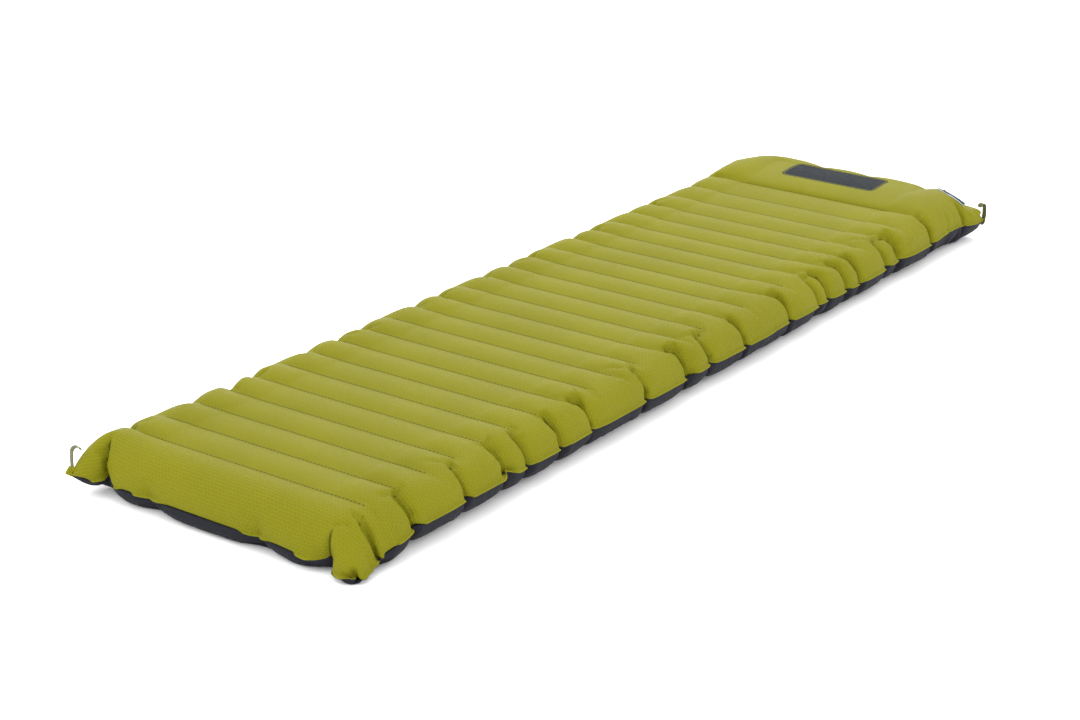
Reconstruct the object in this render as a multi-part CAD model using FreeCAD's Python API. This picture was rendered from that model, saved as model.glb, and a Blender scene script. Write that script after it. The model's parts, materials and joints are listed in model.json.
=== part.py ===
import FreeCAD, Part
import math
import os

# An inflatable sleeping pad, modelled blown up and lying on the ground.
# Two laminated fabric sheets are welded together round their rims, and 25
# fabric ribs tie the upper sheet to the lower one, so the air space becomes a
# row of crosswise cells with one wide pillow cell at the head.  A flat
# two-stage valve sits on the slope of the pillow cell at the right corner, and
# a webbing loop hangs at each of two opposite corners.
#
# Millimetres.  +Y runs from the foot to the head, +X to the sleeper's right
# when lying face down, +Z up.  The origin is on the ground at mid length and
# mid width.

# ---- overall sizes ----
pad_length = 1830.0
pad_width = 510.0
cell_height = 86.0
pillow_height = 98.0
seam_height = 34.0

# ---- fabric ----
wall = 1.1              # each sheet
rib_fabric = 1.0        # each rib
seam_margin = 5.0       # welded rim outside the air space
seam_layer = 1.2        # each sheet's share of the welded rim
air_corner = 45.0       # plan radius of the air space at the corners
rim_corner = 12.0       # plan radius of the welded rim at the corners

# ---- cells ----
rib_count = 25
foot_cell = 73.0        # foot end to the first weld
pillow_cell = 193.0     # last weld to the head end
widening_cells = 5      # cells next to the pillow that grow step by step
widening = 0.27         # how much wider the last of them is
valley_depth = 8.0      # a weld lies this far below the cells beside it
weld_width = 6.0
rest_share = 0.4        # share of a cell's width that lies flat on the ground
rib_setback = 50.0      # side edge to the end of a rib

# ---- roundness of the edges ----
side_rise = 50.0        # side edge to where the top is at full height
side_tuck = 30.0        # side edge to where the bottom leaves the ground
foot_crest = 36.0       # foot end to the crest of the first cell
pillow_crest = 84.0     # head end to the crest of the pillow cell
end_tuck = 28.0
side_overrun = 6.0      # the sides' curve carries on this far past the top and the ground

# ---- valve, in its own frame: x along the valve, z away from the pad ----
valve_side_inset = 50.0
valve_end_inset = 47.0
valve_drop = 18.0       # below the pillow's crest
valve_turn = 30.0       # degrees, from facing the head towards the right side
valve_tilt = 51.0       # degrees above level
seat_length = 92.0
seat_width = 66.0
seat_clear_height = 60.0
flange_length = 64.0
flange_width = 40.0
flange_thick = 1.2
port_x = 6.0            # centre of the deflation port
port_bore = 12.0        # radius
port_wall = 2.5
port_rise = 1.6         # above the flange
port_depth = 5.0        # below the flange's underside
fit_gap = 0.3           # between pieces that move on each other
cap_thick = 1.6
cap_length = 53.0
cap_width = 31.0
cap_rear = 22.0         # from the valve's centre
plug_depth = 5.1        # below the deflation cap
plug_wall = 2.0
plug_taper = 0.5
plug_floor = 1.0
spider_outer = 6.0
spider_inner = 2.8
spider_arm = 1.6
inlet_bore = 5.0        # radius of the inflation port
hub_bore = 1.3
lid_thick = 1.4
lid_length = 39.0
lid_width = 20.0
lid_rear = 12.0
tab_reach = 6.0
tab_width = 12.0
stopper_depth = 2.8
stopper_taper = 0.3
cap_hinge_x = -26.5
cap_knuckle = 2.0       # radius
cap_pin = 0.9           # radius
cap_hinge_width = 14.0
lid_hinge_x = -15.0
lid_knuckle = 1.3
lid_pin = 0.6
lid_hinge_width = 8.0
lug_width = 2.6
pin_gap = 0.08
pin_inset = 0.4         # from a lug's outer face to the pin's end
arm_overlap = 6.0       # how far a hinge's arm runs into its plate
disc_radius = 7.2
disc_thick = 0.8
disc_stem = 0.9
disc_bulb = 1.9
disc_travel = 1.5

# ---- webbing loops ----
webbing_width = 10.0
webbing_thick = 1.1
loop_opening = 12.0     # clear distance between the two runs of the loop
loop_top = 34.0         # highest point above the seam
loop_bottom = 8.0       # lowest point below the seam
loop_tail = 11.0        # length sewn to the rim, from the rim's corner inwards
loop_inset = 3.0        # the inner run stands this far inside the rim's corner

half_length = pad_length / 2
half_width = pad_width / 2
V = FreeCAD.Vector


def weld_positions():
    """Distance of every weld along the pad, from the foot to the head."""
    steps = [1.0] * (rib_count - 1 - widening_cells)
    for k in range(1, widening_cells + 1):
        steps.append(1.0 + widening * (k / widening_cells) ** 2)
    pitch = (pad_length - foot_cell - pillow_cell) / sum(steps)
    places = [foot_cell - half_length]
    for step in steps:
        places.append(places[-1] + pitch * step)
    return places


welds = weld_positions()
top_valley = cell_height - valley_depth
bottom_valley = valley_depth


def line(a, b):
    return Part.LineSegment(a, b).toShape()


def arc(a, mid, b):
    return Part.Arc(a, mid, b).toShape()


def quarter(start, corner, end):
    """A quarter of an ellipse from start to end, tangent to both legs of the corner."""
    k = 0.5523
    curve = Part.BezierCurve()
    curve.setPoles([start, start + (corner - start) * k, end + (corner - end) * k, end])
    return curve.toShape()


def face_of(edges):
    return Part.Face(Part.Wire(edges))


def length_profile(skin):
    """The pad's outline along its length, moved inwards by skin."""
    foot = seam_margin + skin - half_length
    head = half_length - seam_margin - skin
    edges = []
    top = top_valley - skin
    bottom = bottom_valley + skin
    half_weld = weld_width / 2

    first = V(0, welds[0] - half_weld, top)
    edges.append(arc(V(0, foot, seam_height), V(0, foot_crest - half_length, cell_height - skin), first))
    for k in range(rib_count - 1):
        start = V(0, welds[k] + half_weld, top)
        end = V(0, welds[k + 1] - half_weld, top)
        crest = V(0, (start.y + end.y) / 2, cell_height - skin)
        edges.append(line(V(0, welds[k] - half_weld, top), start))
        edges.append(arc(start, crest, end))
    last = V(0, welds[-1] + half_weld, top)
    crest = V(0, half_length - pillow_crest, pillow_height - skin)
    edges.append(line(V(0, welds[-1] - half_weld, top), last))
    edges.append(quarter(last, V(0, last.y, crest.z), crest))
    edges.append(quarter(crest, V(0, head, crest.z), V(0, head, seam_height)))

    lift_off = half_length - seam_margin - end_tuck
    point = V(0, head, seam_height)
    ground_end = V(0, lift_off, skin)
    edges.append(quarter(point, V(0, head, skin), ground_end))
    ends = [-lift_off] + welds + [lift_off]
    for k in range(rib_count, -1, -1):
        low = ends[k] + (half_weld if k > 0 else 0)
        high = ends[k + 1] - (half_weld if k < rib_count else 0)
        middle = (low + high) / 2
        rest = (high - low) * rest_share / 2
        right = V(0, high if k == rib_count else middle + rest, skin)
        left = V(0, low if k == 0 else middle - rest, skin)
        if k < rib_count:
            edges.append(quarter(V(0, high, bottom), V(0, high, skin), right))
        edges.append(line(right, left))
        if k > 0:
            edges.append(quarter(left, V(0, low, skin), V(0, low, bottom)))
            edges.append(line(V(0, low, bottom), V(0, low - weld_width, bottom)))
    edges.append(quarter(V(0, -lift_off, skin), V(0, foot, skin), V(0, foot, seam_height)))
    return face_of(edges)


def width_profile(skin):
    """The pad's outline across its width, moved inwards by skin."""
    side = half_width - seam_margin - skin
    shoulder = half_width - side_rise
    tuck = half_width - seam_margin - side_tuck
    top = pillow_height + side_overrun - skin
    bottom = skin - side_overrun
    edges = []
    edges.append(line(V(-shoulder, 0, top), V(shoulder, 0, top)))
    edges.append(quarter(V(shoulder, 0, top), V(side, 0, top), V(side, 0, seam_height)))
    edges.append(quarter(V(side, 0, seam_height), V(side, 0, bottom), V(tuck, 0, bottom)))
    edges.append(line(V(tuck, 0, bottom), V(-tuck, 0, bottom)))
    edges.append(quarter(V(-tuck, 0, bottom), V(-side, 0, bottom), V(-side, 0, seam_height)))
    edges.append(quarter(V(-side, 0, seam_height), V(-side, 0, top), V(-shoulder, 0, top)))
    return face_of(edges)


def plan_block(inset, radius, low, high):
    """A rounded rectangle seen from above, inset from the pad's edge, from low to high."""
    x = half_width - inset
    y = half_length - inset
    block = Part.makeBox(2 * x, 2 * y, high - low, V(-x, -y, low))
    upright = [e for e in block.Edges if abs(e.Vertexes[0].Z - e.Vertexes[1].Z) > 0.5 * (high - low)]
    return block.makeFillet(radius, upright)


def along(shape, start, travel):
    moved = shape.copy()
    moved.translate(start)
    return moved.extrude(travel)


# ---- the valve's place on the pillow cell ----
turn = math.radians(valve_turn)
tilt = math.radians(valve_tilt)
valve_up = V(math.sin(turn) * math.cos(tilt), math.cos(turn) * math.cos(tilt), math.sin(tilt))
valve_long = (V(1, 0, 0) - valve_up * valve_up.x).normalize()
valve_across = valve_up.cross(valve_long)
valve_centre = V(half_width - valve_side_inset, half_length - valve_end_inset, pillow_height - valve_drop)
valve_place = FreeCAD.Placement(valve_centre, FreeCAD.Rotation(valve_long, valve_across, valve_up, "ZXY"))


def on_pad(shape):
    """Move a valve piece from the valve's own frame to its place on the pad."""
    return shape.transformed(valve_place.toMatrix())


def seat_cut(skin):
    """What is taken off the pillow cell's slope to give the valve a flat seat."""
    x = seat_length / 2 + skin
    y = seat_width / 2 + skin
    block = Part.makeBox(2 * x, 2 * y, seat_clear_height, V(-x, -y, -skin))
    return on_pad(block)


def envelope(skin):
    """The air space, or with skin 0 the outside of the pad."""
    long_way = along(length_profile(skin), V(-half_width, 0, 0), V(pad_width, 0, 0))
    cross_way = along(width_profile(skin), V(0, -half_length, 0), V(0, pad_length, 0))
    plan = plan_block(seam_margin + skin, air_corner - skin, -side_overrun, pillow_height + side_overrun)
    return cross_way.common(plan).common(long_way).cut(seat_cut(skin))


def cylinder(radius, low, high, x=0.0):
    return Part.makeCylinder(radius, high - low, V(x, 0, low))


def cross_rod(radius, width, x, z):
    return Part.makeCylinder(radius, width, V(x, -width / 2, z), V(0, 1, 0))


def slot_plate(rear, length, width, low, thick):
    """A flat plate with round ends, its rear end at x = rear."""
    radius = width / 2
    plate = Part.makeBox(length - width, width, thick, V(rear + radius, -radius, low))
    for x in (rear + radius, rear + length - radius):
        plate = plate.fuse(cylinder(radius, low, low + thick, x))
    return plate.removeSplitter()


def lugs(hinge_x, hinge_z, radius, inner, bore, foot):
    """Two bored lugs that hold a hinge, standing on the level foot."""
    pair = []
    for side in (-1, 1):
        y = inner if side > 0 else -inner - lug_width
        post = Part.makeBox(2 * radius, lug_width, hinge_z - foot, V(hinge_x - radius, y, foot))
        eye = Part.makeCylinder(radius, lug_width, V(hinge_x, y, hinge_z), V(0, 1, 0))
        hole = Part.makeCylinder(bore, lug_width, V(hinge_x, y, hinge_z), V(0, 1, 0))
        pair.append(post.fuse(eye).cut(hole))
    return pair


def hinge_knuckle(hinge_x, hinge_z, radius, width, pin, plate_low, plate_thick, reach):
    """A knuckle with a pin out of each end, and the arm that joins it to its plate."""
    pin_length = width + 2 * fit_gap + 2 * lug_width - 2 * pin_inset
    knuckle = cross_rod(radius, width, hinge_x, hinge_z)
    knuckle = knuckle.fuse(cross_rod(pin, pin_length, hinge_x, hinge_z))
    arm = Part.makeBox(reach, width, plate_thick, V(hinge_x, -width / 2, plate_low))
    return knuckle.fuse(arm)


# ---- levels in the valve ----
port_top = flange_thick + port_rise
cap_low = port_top + fit_gap
cap_high = cap_low + cap_thick
cap_hinge_z = cap_low + cap_thick / 2
plug_low = cap_high - cap_thick - plug_depth
lid_low = cap_high + fit_gap
lid_hinge_z = cap_high + fit_gap + lid_knuckle
stopper_low = lid_low - stopper_depth
disc_high = plug_low - fit_gap
bulb_low = plug_low + plug_floor + disc_travel + fit_gap
bulb_high = stopper_low - fit_gap


def make_valve_base():
    """Welded flange with the deflation port through it and the cap's hinge lugs."""
    flange = slot_plate(-flange_length / 2, flange_length, flange_width, 0, flange_thick)
    port = cylinder(port_bore + port_wall, -port_depth, port_top, port_x)
    base = flange.fuse(port).cut(cylinder(port_bore, -port_depth, port_top, port_x))
    ears = lugs(cap_hinge_x, cap_hinge_z, cap_knuckle, cap_hinge_width / 2 + fit_gap,
                cap_pin + pin_gap, flange_thick)
    return base.fuse(ears[0]).fuse(ears[1]).removeSplitter()


def make_deflate_cap():
    """Cap that plugs the deflation port and carries the inflation port."""
    plate = slot_plate(-cap_rear, cap_length, cap_width, cap_low, cap_thick)
    plug_top = port_bore - fit_gap
    plug = Part.makeCone(plug_top - plug_taper, plug_top, plug_depth, V(port_x, 0, plug_low))
    hollow = cylinder(plug_top - plug_taper - plug_wall, plug_low + plug_floor, cap_low, port_x)
    windows = cylinder(spider_outer, plug_low, plug_low + plug_floor, port_x)
    windows = windows.cut(cylinder(spider_inner, plug_low, plug_low + plug_floor, port_x))
    for k in range(3):
        bar = Part.makeBox(spider_outer, spider_arm, plug_floor, V(0, -spider_arm / 2, plug_low))
        bar.rotate(V(0, 0, 0), V(0, 0, 1), 120 * k)
        bar.translate(V(port_x, 0, 0))
        windows = windows.cut(bar)
    cap = plate.fuse(plug).cut(hollow).cut(windows)
    cap = cap.cut(cylinder(inlet_bore, cap_low, cap_high, port_x))
    cap = cap.cut(cylinder(hub_bore, plug_low, plug_low + plug_floor, port_x))
    knuckle = hinge_knuckle(cap_hinge_x, cap_hinge_z, cap_knuckle, cap_hinge_width,
                            cap_pin, cap_low, cap_thick, -cap_rear - cap_hinge_x + arm_overlap)
    ears = lugs(lid_hinge_x, lid_hinge_z, lid_knuckle, lid_hinge_width / 2 + fit_gap,
                lid_pin + pin_gap, cap_high)
    return cap.fuse(knuckle).fuse(ears[0]).fuse(ears[1]).removeSplitter()


def make_inflate_cap():
    """Small lid that stops the inflation port, with a tab to pull it by."""
    plate = slot_plate(-lid_rear, lid_length, lid_width, lid_low, lid_thick)
    tab_start = lid_length - lid_rear - lid_width / 2
    tab = Part.makeBox(lid_width / 2 + tab_reach, tab_width, lid_thick, V(tab_start, -tab_width / 2, lid_low))
    stopper_top = inlet_bore - fit_gap
    stopper = Part.makeCone(stopper_top - stopper_taper, stopper_top, stopper_depth, V(port_x, 0, stopper_low))
    knuckle = hinge_knuckle(lid_hinge_x, lid_hinge_z, lid_knuckle, lid_hinge_width,
                            lid_pin, lid_low, lid_thick, -lid_rear - lid_hinge_x + arm_overlap)
    return plate.fuse(tab).fuse(stopper).fuse(knuckle).removeSplitter()


def make_check_disc():
    """Soft disc under the spider: air going in pushes it off, air inside shuts it."""
    disc = cylinder(disc_radius, disc_high - disc_thick, disc_high, port_x)
    stem = cylinder(disc_stem, disc_high, bulb_low, port_x)
    bulb = cylinder(disc_bulb, bulb_low, bulb_high, port_x)
    return disc.fuse(stem).fuse(bulb).removeSplitter()


def make_sheets():
    """The upper and lower sheets, cut apart at the seam."""
    outside = envelope(0.0)
    inside = envelope(wall)
    hole = on_pad(cylinder(port_bore + port_wall + fit_gap, -seat_clear_height / 4, seat_clear_height, port_x))
    sheets = []
    for low, high, rim_low in ((seam_height, pillow_height, seam_height),
                               (0.0, seam_height, seam_height - seam_layer)):
        slab = Part.makeBox(pad_width, pad_length, high - low, V(-half_width, -half_length, low))
        rim = plan_block(0, rim_corner, rim_low, rim_low + seam_layer)
        sheet = outside.common(slab).fuse(rim).cut(inside)
        sheets.append(sheet)
    return sheets[0].cut(hole).removeSplitter(), sheets[1].removeSplitter()


def make_rib(y):
    """An I-shaped fabric strip welded to both sheets, short of the sides."""
    half = half_width - rib_setback
    low = bottom_valley + wall
    high = top_valley - wall
    rib = Part.makeBox(2 * half, rib_fabric, high - low, V(-half, y - rib_fabric / 2, low))
    for z in (low, high - rib_fabric):
        rib = rib.fuse(Part.makeBox(2 * half, weld_width, rib_fabric, V(-half, y - weld_width / 2, z)))
    return rib.removeSplitter()


def make_loop(end):
    """A webbing loop round the welded rim, at the head's right corner (end = 1) or
    the foot's left corner (end = -1)."""
    outer = loop_opening / 2 + webbing_thick
    run = webbing_thick
    centre = outer - run - loop_inset
    low = -loop_bottom + outer
    high = loop_top - outer
    ring = []
    for radius in (outer, outer - run):
        a = V(centre - radius, 0, low)
        b = V(centre - radius, 0, high)
        c = V(centre + radius, 0, high)
        d = V(centre + radius, 0, low)
        edges = [line(a, b), arc(b, V(centre, 0, high + radius), c), line(c, d),
                 arc(d, V(centre, 0, low - radius), a)]
        ring.append(face_of(edges))
    band = ring[0].cut(ring[1])
    band = along(band, V(0, -webbing_width / 2, 0), V(0, webbing_width, 0))
    gap = Part.makeBox(2 * run, webbing_width, 2 * seam_layer,
                       V(centre - outer - run / 2, -webbing_width / 2, -seam_layer))
    band = band.cut(gap)
    tail_end = centre - outer + run
    for z in (seam_layer, -seam_layer - run):
        band = band.fuse(Part.makeBox(loop_tail - loop_inset, webbing_width, run,
                                      V(tail_end - loop_tail + loop_inset, -webbing_width / 2, z)))
    corner = rim_corner * (1 - math.sqrt(0.5))
    band.rotate(V(0, 0, 0), V(0, 0, 1), 45)
    band.translate(V(half_width - corner, half_length - corner, seam_height))
    if end < 0:
        band.rotate(V(0, 0, 0), V(0, 0, 1), 180)
    return band.removeSplitter()


def main():
    nodes = {}
    nodes["top_sheet"], nodes["bottom_sheet"] = make_sheets()
    for k, y in enumerate(welds):
        nodes["rib_%02d" % (k + 1)] = make_rib(y)
    nodes["valve_base"] = on_pad(make_valve_base())
    nodes["deflate_cap"] = on_pad(make_deflate_cap())
    nodes["check_disc"] = on_pad(make_check_disc())
    nodes["inflate_cap"] = on_pad(make_inflate_cap())
    nodes["head_corner_loop"] = make_loop(1)
    nodes["foot_corner_loop"] = make_loop(-1)
    os.makedirs("parts", exist_ok=True)
    for name, shape in nodes.items():
        shape.exportStep("parts/%s.step" % name)
        print("%-18s solids %d  valid %s  volume %.0f mm3" % (name, len(shape.Solids), shape.isValid(), shape.Volume))


main()
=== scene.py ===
import json
import math

import bpy
import bmesh
import numpy as np
from bpy.props import FloatProperty, FloatVectorProperty, IntProperty, PointerProperty
from bpy.types import Operator, Panel, PropertyGroup
from mathutils import Matrix, Vector


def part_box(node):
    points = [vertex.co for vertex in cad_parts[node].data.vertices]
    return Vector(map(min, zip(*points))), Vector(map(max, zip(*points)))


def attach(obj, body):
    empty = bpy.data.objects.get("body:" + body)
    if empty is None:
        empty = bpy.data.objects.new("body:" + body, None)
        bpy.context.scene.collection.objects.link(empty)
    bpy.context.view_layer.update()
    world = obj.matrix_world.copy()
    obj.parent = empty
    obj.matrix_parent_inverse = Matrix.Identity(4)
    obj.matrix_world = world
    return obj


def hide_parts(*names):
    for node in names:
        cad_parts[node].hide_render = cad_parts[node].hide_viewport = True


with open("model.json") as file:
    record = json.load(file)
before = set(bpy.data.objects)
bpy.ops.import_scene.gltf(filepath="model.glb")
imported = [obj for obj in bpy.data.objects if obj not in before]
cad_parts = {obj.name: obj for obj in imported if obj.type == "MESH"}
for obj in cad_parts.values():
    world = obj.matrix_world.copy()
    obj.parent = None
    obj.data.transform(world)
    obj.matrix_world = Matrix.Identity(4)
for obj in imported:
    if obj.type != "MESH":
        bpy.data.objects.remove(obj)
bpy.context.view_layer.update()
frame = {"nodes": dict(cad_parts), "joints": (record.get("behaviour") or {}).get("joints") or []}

bl_info = {
    "name": "Inflatable sleeping pad",
    "version": (1, 0, 0),
    "blender": (4, 5, 0),
    "location": "3D Viewport > Sidebar > Sleeping Pad",
    "description": "Makes the fabric, loops, valve finish and stage of a blown-up sleeping pad",
    "category": "Add Mesh",
}

# ------------------------------------------------------------ sizes from the frame, in metres

TOP_LOW, TOP_HIGH = (Vector(corner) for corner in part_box("top_sheet"))
SEAM_Z = TOP_LOW.z
HALF_WIDTH = TOP_HIGH.x
HALF_LENGTH = TOP_HIGH.y
PILLOW_TOP = TOP_HIGH.z


def rib_lines():
    """The place along the pad, the two weld heights and the end of every rib."""
    lines = []
    for name in sorted(frame["nodes"]):
        if name.startswith("rib_"):
            low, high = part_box(name)
            lines.append(((low[1] + high[1]) / 2, low[2], high[2], high[0]))
    return sorted(lines)


RIBS = rib_lines()
WELDS = np.array([rib[0] for rib in RIBS])
RIB_END = RIBS[0][3]
SHEET_WALL = 0.0011                      # from a rib's edge to the sheet's outer face
TOP_VALLEY = RIBS[0][2] + SHEET_WALL
LOW_VALLEY = RIBS[0][1] - SHEET_WALL


def joint_axis(name):
    """A joint's axis, as the frame gives it."""
    return Vector(next(joint["axis"] for joint in frame["joints"] if joint["name"] == name))


# The valve lies on a flat seat: its middle, and its directions up, across and along.
VALVE_SEAT = Vector((0.205, 0.868, 0.080))
VALVE_UP = -joint_axis("check_disc_lift")
VALVE_ACROSS = -joint_axis("deflate_cap_hinge")
VALVE_ALONG = VALVE_ACROSS.cross(VALVE_UP)
FLANGE_WIDTH = 0.040
FLANGE_LENGTH = 0.064
PORT_OFFSET = 0.006
PORT_HOLE = 0.0152
LOOP_TURN = 28.0                         # degrees that a loop is turned out of the diagonal
PINCH_DEPTH = (0.009, 0.017)             # least and most
STRAP_HALF_WIDTH = 0.005
STRAP_THICKNESS = 0.0011
STRAP_TOP, STRAP_FOOT = 0.0269, -0.0009  # the ends of a loop's straight runs, from the seam
STRAP_RADIUS = 0.00655
STRAP_BOW = 0.0016                       # how far a loop's outer run bows
PANEL_MIDDLE = (-0.005, 0.806, 0.0)      # the printed panel on the pillow
PANEL_CORE = (0.086, 0.024, 0.0)         # half its size, without its rounded border

# The camera: its place, and its turn, downward tilt and roll in degrees.
CAMERA_PLACE = (1.9365, -2.908, 1.3117)
CAMERA_TURN, CAMERA_DIP, CAMERA_ROLL = 35.172, 20.968, 0.696

# Blowing up the fabric.
PUSH = 0.00025                           # outward move of each step, from the pressure
DRAG = 0.97                              # share of its speed that the fabric keeps in a step
PASSES = 8                               # times that the threads' lengths are mended in a step
WELD_SLACK = 0.006                       # how far a weld's rows may drift along the pad
RIB_GAP = 0.0015                         # kept between the side fabric and the ribs' ends
FIRST_STEPS, LAST_STEPS = 20, 25         # steps of rising pressure, and of extra drag

# ------------------------------------------------------------ the flat fabric's grid

FOOT_ROWS, CELL_ROWS, HEAD_ROWS = 20, 12, 38
SIDE_COLUMNS, MIDDLE_COLUMNS = 26, 14
SIDE_BAND = 0.075                        # finely divided width inboard of a rib's end
RIM_INSET = 0.005                        # the sheets' rim, inside the flat edge of the seam
FOOT_FLAT = 0.100                        # flat length of the foot cell, and each sheet's part of it
FOOT_SHARE = (1.09, 0.91)
FOOT_SEAM_Z = 0.025                      # the seam's height in the middle of the foot face
HEAD_FLAT = 0.214                        # flat length of the pillow cell
SIDE_FLAT = (0.0665, 0.0635)             # flat width outboard of a rib's end, top and bottom

# Where the right and left sides are pinched, counted in ribs from the foot.
PINCHES = (
    (1, (0.7, 1.8, 3.6, 5.0, 5.8, 7.1, 8.3, 10.6, 12.4, 13.5, 15.1, 17.3, 18.8, 19.4, 20.4, 21.2,
         22.6, 23.3, 24.9)),
    (-1, (1.2, 3.0, 4.3, 5.1, 6.9, 8.2, 9.0, 11.1, 12.2, 14.0, 15.2, 16.1, 18.2, 19.0, 20.9, 22.1,
          24.0, 24.9)))
# Folds in the foot and head faces: place across the pad and depth.
FOOT_FOLDS = ((-0.207, 0.018), (-0.110, 0.002), (0.080, 0.0025), (0.196, 0.009))
HEAD_FOLDS = ((-0.205, 0.012), (-0.060, 0.002), (0.040, 0.002), (0.155, 0.006))
# Corners: side, end, furthest reach across and along, radius, and the seam's height at the tip.
CORNERS = ((-1, -1, 0.264, 0.934, 0.014, 0.044), (1, -1, 0.257, 0.917, 0.040, 0.010),
           (-1, 1, 0.262, 0.907, 0.012, 0.062), (1, 1, 0.2565, 0.9165, 0.016, SEAM_Z))
CORNER_REACH = 26                        # rows and columns that a corner's limit acts on
# The foot seam's greatest height: places across the pad, then ribs counted along the right side.
FOOT_SEAM = ((-0.250, 0.044), (-0.215, 0.032), (-0.180, 0.027), (0.100, 0.025), (0.200, 0.017),
             (0.255, 0.011))
SIDE_SEAM = ((0.0, 0.010), (0.5, 0.014), (1.0, 0.028), (1.3, 0.034))


def smooth(value):
    """An ease from 0 to 1."""
    value = np.clip(value, 0.0, 1.0)
    return value * value * (3.0 - 2.0 * value)


def row_list():
    """The cell that each row of the grid is in, and how far through it."""
    rows = [(0, i / FOOT_ROWS) for i in range(FOOT_ROWS)]
    for cell in range(1, len(WELDS)):
        rows += [(cell, i / CELL_ROWS) for i in range(CELL_ROWS)]
    rows += [(len(WELDS), i / HEAD_ROWS) for i in range(HEAD_ROWS + 1)]
    return np.array([row[0] for row in rows]), np.array([row[1] for row in rows])


def column_list():
    """Each column's place across the flat fabric."""
    edge = RIB_END + sum(SIDE_FLAT) / 2
    side = np.linspace(edge, RIB_END - SIDE_BAND, SIDE_COLUMNS + 1)
    middle = np.linspace(-(RIB_END - SIDE_BAND), RIB_END - SIDE_BAND, MIDDLE_COLUMNS + 1)[1:-1]
    folds = np.array([fold[0] for fold in FOOT_FOLDS + HEAD_FOLDS if abs(fold[0]) < 0.12])
    middle = middle[np.abs(middle[:, None] - folds).min(axis=1) > 0.008]
    close = np.concatenate([folds - 0.004, folds, folds + 0.004])
    return np.concatenate([-side, np.sort(np.concatenate([middle, close])), side[::-1]])


ROW_CELL, ROW_PART = row_list()
COLUMNS = column_list()
ROWS = len(ROW_CELL)
LAST_CELL = len(WELDS)
WELD_ROWS = np.nonzero((ROW_PART == 0) & (ROW_CELL >= 1))[0]


def flat_length(cell_rise):
    """Each row's place along the flat fabric, and each weld's."""
    cells = [0.0, FOOT_FLAT]
    for start, stop in zip(WELDS[:-1], WELDS[1:]):
        chord = stop - start
        cells.append(cells[-1] + chord * (1 + 8 / 3 * (cell_rise / chord) ** 2))
    cells.append(cells[-1] + HEAD_FLAT)
    cells = np.array(cells)
    places = cells[ROW_CELL] + (cells[ROW_CELL + 1] - cells[ROW_CELL]) * ROW_PART
    return places, cells[1:-1]


def arc(middle, start, stop, part, start_reach, stop_reach):
    """A point part of the way round an arc whose reach changes evenly."""
    angle = start + (stop - start) * part
    reach = start_reach + (stop_reach - start_reach) * part
    return middle[0] + reach * math.cos(angle), middle[1] + reach * math.sin(angle)


def foot_profile(part, top):
    """The foot cell's outline, from the rim up or down to the first weld."""
    radius = 0.043
    middle = (-HALF_LENGTH + 0.046, radius)
    dip = math.asin((radius - FOOT_SEAM_Z) / radius)
    height = TOP_VALLEY if top else LOW_VALLEY
    stop = math.atan2(height - middle[1], WELDS[0] - middle[0])
    reach = math.hypot(height - middle[1], WELDS[0] - middle[0])
    start = math.pi + dip if top else -math.pi + dip
    return arc(middle, start, stop, part, radius, reach)


def head_profile(top):
    """The pillow cell's outline, from the last weld to the rim, as places and heights."""
    last, rim = WELDS[-1], HALF_LENGTH - RIM_INSET
    turn = np.linspace(0, math.pi / 2, 41)
    if top:
        crest = HALF_LENGTH - 0.084
        rise = PILLOW_TOP - TOP_VALLEY
        y = np.concatenate([crest - (crest - last) * np.cos(turn),
                            crest + (rim - crest) * np.sin(turn[1:])])
        z = np.concatenate([TOP_VALLEY + rise * np.sin(turn),
                            SEAM_Z + (PILLOW_TOP - SEAM_Z) * np.cos(turn[1:])])
        return y, z
    edge = HALF_LENGTH - 0.040
    y = np.concatenate([last + 0.03 * np.sin(turn), np.linspace(last + 0.03, edge, 31)[1:],
                        edge + (rim - edge) * np.sin(turn[1:])])
    z = np.concatenate([LOW_VALLEY * np.cos(turn), np.zeros(30), SEAM_Z * (1 - np.cos(turn[1:]))])
    return y, z


def middle_line(top, cell_rise):
    """The place and height of every row along the pad's middle."""
    head_y, head_z = head_profile(top)
    run = np.concatenate([[0], np.cumsum(np.hypot(np.diff(head_y), np.diff(head_z)))])
    points = []
    for cell, part in zip(ROW_CELL, ROW_PART):
        if cell == 0:
            points.append(foot_profile(part, top))
        elif cell == LAST_CELL:
            place = part * run[-1]
            points.append((np.interp(place, run, head_y), np.interp(place, run, head_z)))
        else:
            start, stop = WELDS[cell - 1], WELDS[cell]
            rise = 4 * cell_rise * part * (1 - part)
            height = TOP_VALLEY + rise if top else LOW_VALLEY - rise
            points.append((start + (stop - start) * part, height))
    return np.array(points)


def start_shape(cell_rise):
    """The two sheets before they are blown up: rounded sides, no folds."""
    side = COLUMNS[-1] - RIB_END
    over = np.clip((np.abs(COLUMNS) - RIB_END) / side, 0, None) * math.pi / 2
    reach = HALF_WIDTH - RIM_INSET - RIB_END
    across = np.where(over > 0, np.sign(COLUMNS) * (RIB_END + reach * np.sin(over)), COLUMNS)
    sheets = np.zeros((2, ROWS, len(COLUMNS), 3))
    for layer, top in enumerate((True, False)):
        line = middle_line(top, cell_rise)
        sheets[layer, ..., 0] = across
        sheets[layer, ..., 1] = line[:, :1]
        sheets[layer, ..., 2] = SEAM_Z + (line[:, 1:] - SEAM_Z) * np.cos(over)
    return sheets


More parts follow.
